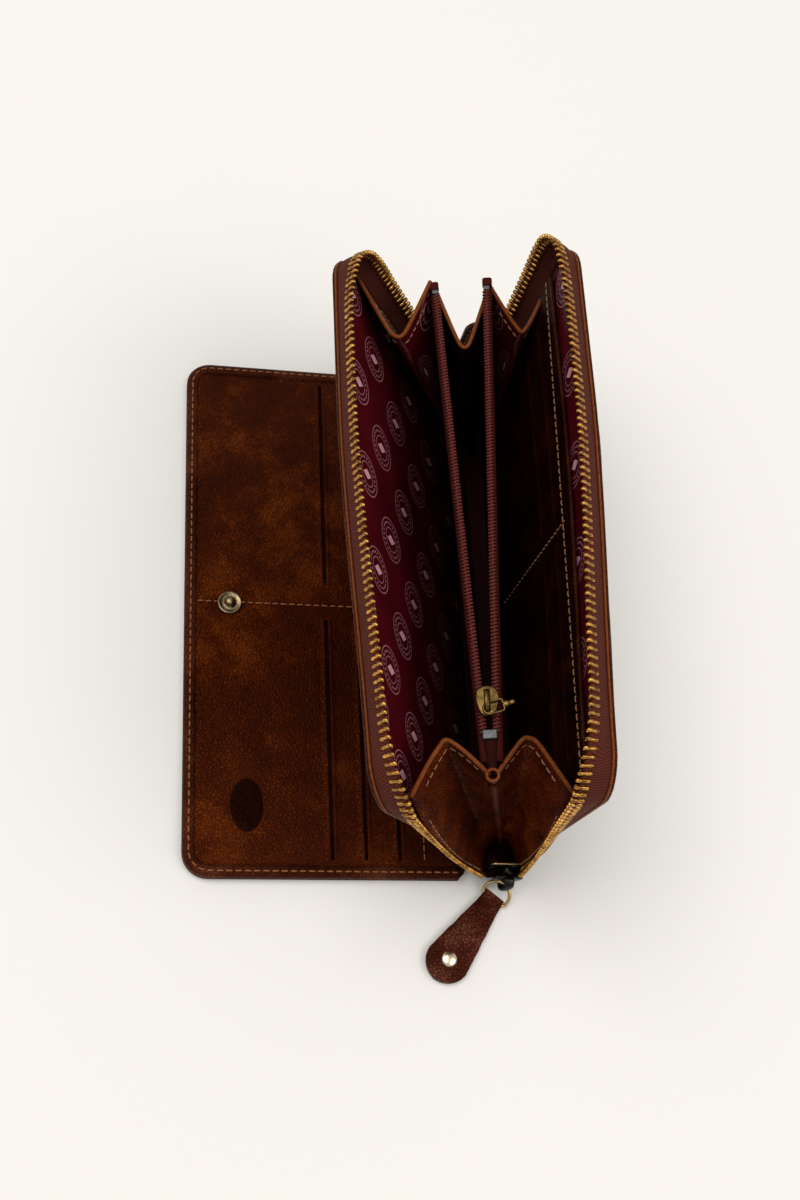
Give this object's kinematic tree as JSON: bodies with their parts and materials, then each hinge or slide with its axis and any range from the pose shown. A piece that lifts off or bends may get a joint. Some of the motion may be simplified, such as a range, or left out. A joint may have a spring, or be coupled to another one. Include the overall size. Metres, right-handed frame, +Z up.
{
  "type": "zip around wallet",
  "caption": "Long leather zip around wallet standing open, with a flap of card slots, two folding compartments, a zipped coin pocket and a leather zip pull.",
  "frame": {"origin": "centre of the spine's underside, on the surface that the wallet stands on", "axes": "+Y along the spine, +X towards the right cover and away from the flap, +Z up"},
  "size_m": [0.1247, 0.241, 0.1103],
  "materials": {
    "outer_leather": "mottled waxed pull-up leather, red-brown with tan edges",
    "gusset_leather": "thin cognac leather with raw tan edges",
    "plain_lining": "smooth dark burgundy lining cloth",
    "printed_lining": null,
    "stiffener_board": "pressed fibre board",
    "zip_tape_cloth": "brown herringbone tape",
    "coin_tape_cloth": "burgundy-brown woven tape",
    "coin_coil_plastic": "burgundy-brown coil",
    "zip_brass": "antique brass teeth",
    "snap_brass": "aged dark brass",
    "slider_brass": "antique brass casting",
    "ring_brass": "polished antique brass wire",
    "rivet_brass": "pale polished brass",
    "bright_steel": "bright nickel",
    "dark_slider_metal": "black antiqued metal"
  },
  "bodies": {
    "spine": {"spine_leather": "outer_leather", "spine_lining": "plain_lining", "far_gusset_left": "gusset_leather", "far_gusset_right": "gusset_leather", "near_gusset_left": "gusset_leather", "near_gusset_right": "gusset_leather", "zip_end_tab": "outer_leather", "zip_bottom_stop": "zip_brass"},
    "left_cover": {"left_cover_leather": "outer_leather", "left_cover_board": "stiffener_board", "left_cover_lining": "printed_lining", "left_zip_tape": "zip_tape_cloth", "left_zip_teeth": "zip_brass", "cover_snap_socket": "snap_brass"},
    "right_cover": {"right_cover_leather": "outer_leather", "right_cover_board": "stiffener_board", "right_cover_lining": "printed_lining", "right_zip_tape": "zip_tape_cloth", "right_zip_teeth": "zip_brass", "right_card_panel": "outer_leather", "right_card_pocket_1": "plain_lining", "right_card_pocket_2": "plain_lining", "right_card_pocket_3": "plain_lining", "right_card_pocket_4": "plain_lining"},
    "flap": {"flap_outer_leather": "outer_leather", "flap_card_panel": "outer_leather", "flap_edge_binding": "outer_leather", "flap_card_pocket_1": "plain_lining", "flap_card_pocket_2": "plain_lining", "flap_card_pocket_3": "plain_lining", "flap_card_pocket_4": "plain_lining", "flap_card_pocket_5": "plain_lining", "flap_card_pocket_6": "plain_lining", "flap_snap_cap": "snap_brass", "flap_snap_stud": "snap_brass"},
    "coin_pocket": {"coin_pocket_base": "plain_lining", "far_gusset_middle": "gusset_leather", "coin_zip_loop": "gusset_leather", "coin_zip_bottom_stop": "bright_steel", "coin_zip_tail": "coin_tape_cloth"},
    "coin_mouth_left": {"coin_wall_left": "printed_lining", "coin_zip_tape_left": "coin_tape_cloth", "coin_zip_coil_left": "coin_coil_plastic", "coin_zip_top_stop_left": "bright_steel"},
    "coin_mouth_right": {"coin_wall_right": "printed_lining", "coin_zip_tape_right": "coin_tape_cloth", "coin_zip_coil_right": "coin_coil_plastic", "coin_zip_top_stop_right": "bright_steel"},
    "coin_slider": {"coin_slider_body": "slider_brass"},
    "coin_pull": {"coin_slider_pull": "slider_brass"},
    "main_slider": {"main_slider_body": "dark_slider_metal"},
    "pull_ring": {"pull_ring": "ring_brass"},
    "pull_tab": {"pull_tab_leather": "outer_leather", "pull_tab_rivet": "rivet_brass"}
  },
  "joints": [
    {"name": "left_cover_hinge", "type": "hinge", "parent": "spine", "child": "left_cover", "pos_m": [-0.0085, 0, 0.002], "axis": [0, 1, 0], "range_deg": [0, 35], "deforming": ["far_gusset_left", "far_gusset_right", "near_gusset_left", "near_gusset_right", "far_gusset_middle", "coin_wall_left", "coin_zip_tape_left", "coin_zip_coil_left", "coin_zip_top_stop_left", "coin_wall_right", "coin_zip_tape_right", "coin_zip_coil_right", "coin_zip_top_stop_right"]},
    {"name": "right_cover_hinge", "type": "hinge", "parent": "spine", "child": "right_cover", "pos_m": [0.0085, 0, 0.002], "axis": [0, -1, 0], "range_deg": [0, 2.4]},
    {"name": "flap_hinge", "type": "hinge", "parent": "left_cover", "child": "flap", "pos_m": [-0.0137, 0, 0.002], "axis": [0, 1, 0], "range_deg": [0, 53.5]},
    {"name": "coin_pocket_lean", "type": "hinge", "parent": "spine", "child": "coin_pocket", "pos_m": [0.0005, 0, 0.0032], "axis": [0, 1, 0], "range_deg": [0, 14.51]},
    {"name": "coin_slider_travel", "type": "slide", "parent": "coin_pocket", "child": "coin_slider", "axis": [0, 1, 0], "range_m": [0, 0.148]},
    {"name": "coin_mouth_left_swing", "type": "hinge", "parent": "coin_pocket", "child": "coin_mouth_left", "pos_m": [0.0005, -0.084, 0.0032], "axis": [-0.2924, 0, 0.9563], "range_deg": [-2.05, 0]},
    {"name": "coin_mouth_right_swing", "type": "hinge", "parent": "coin_pocket", "child": "coin_mouth_right", "pos_m": [0.0005, -0.084, 0.0032], "axis": [-0.2924, 0, 0.9563], "range_deg": [0, 2.7]},
    {"name": "coin_pull_swing", "type": "hinge", "parent": "coin_slider", "child": "coin_pull", "pos_m": [-0.02258, -0.06575, 0.0787], "axis": [-0.2924, 0, 0.9563], "range_deg": [-60, 35]},
    {"name": "main_slider_travel", "type": "slide", "parent": "right_cover", "child": "main_slider", "axis": [0.0417, -0.0888, 0.9952], "range_m": [0, 0.075]},
    {"name": "pull_ring_swing", "type": "hinge", "parent": "main_slider", "child": "pull_ring", "pos_m": [0.00013, -0.10208, 0.00527], "axis": [-0.7771, 0.6293, 0], "range_deg": [0, 85]},
    {"name": "pull_tab_swing", "type": "hinge", "parent": "pull_ring", "child": "pull_tab", "pos_m": [-0.0032, -0.10619, 0.0015], "axis": [0.7771, -0.6293, 0], "range_deg": [-80, 0]}
  ],
  "couplings": [
    {"joint": "coin_pocket_lean", "follows": "left_cover_hinge", "ratio": 0.41429},
    {"joint": "coin_mouth_left_swing", "follows": "coin_slider_travel", "rad_per_m": -0.24173},
    {"joint": "coin_mouth_right_swing", "follows": "coin_slider_travel", "rad_per_m": 0.31837}
  ]
}
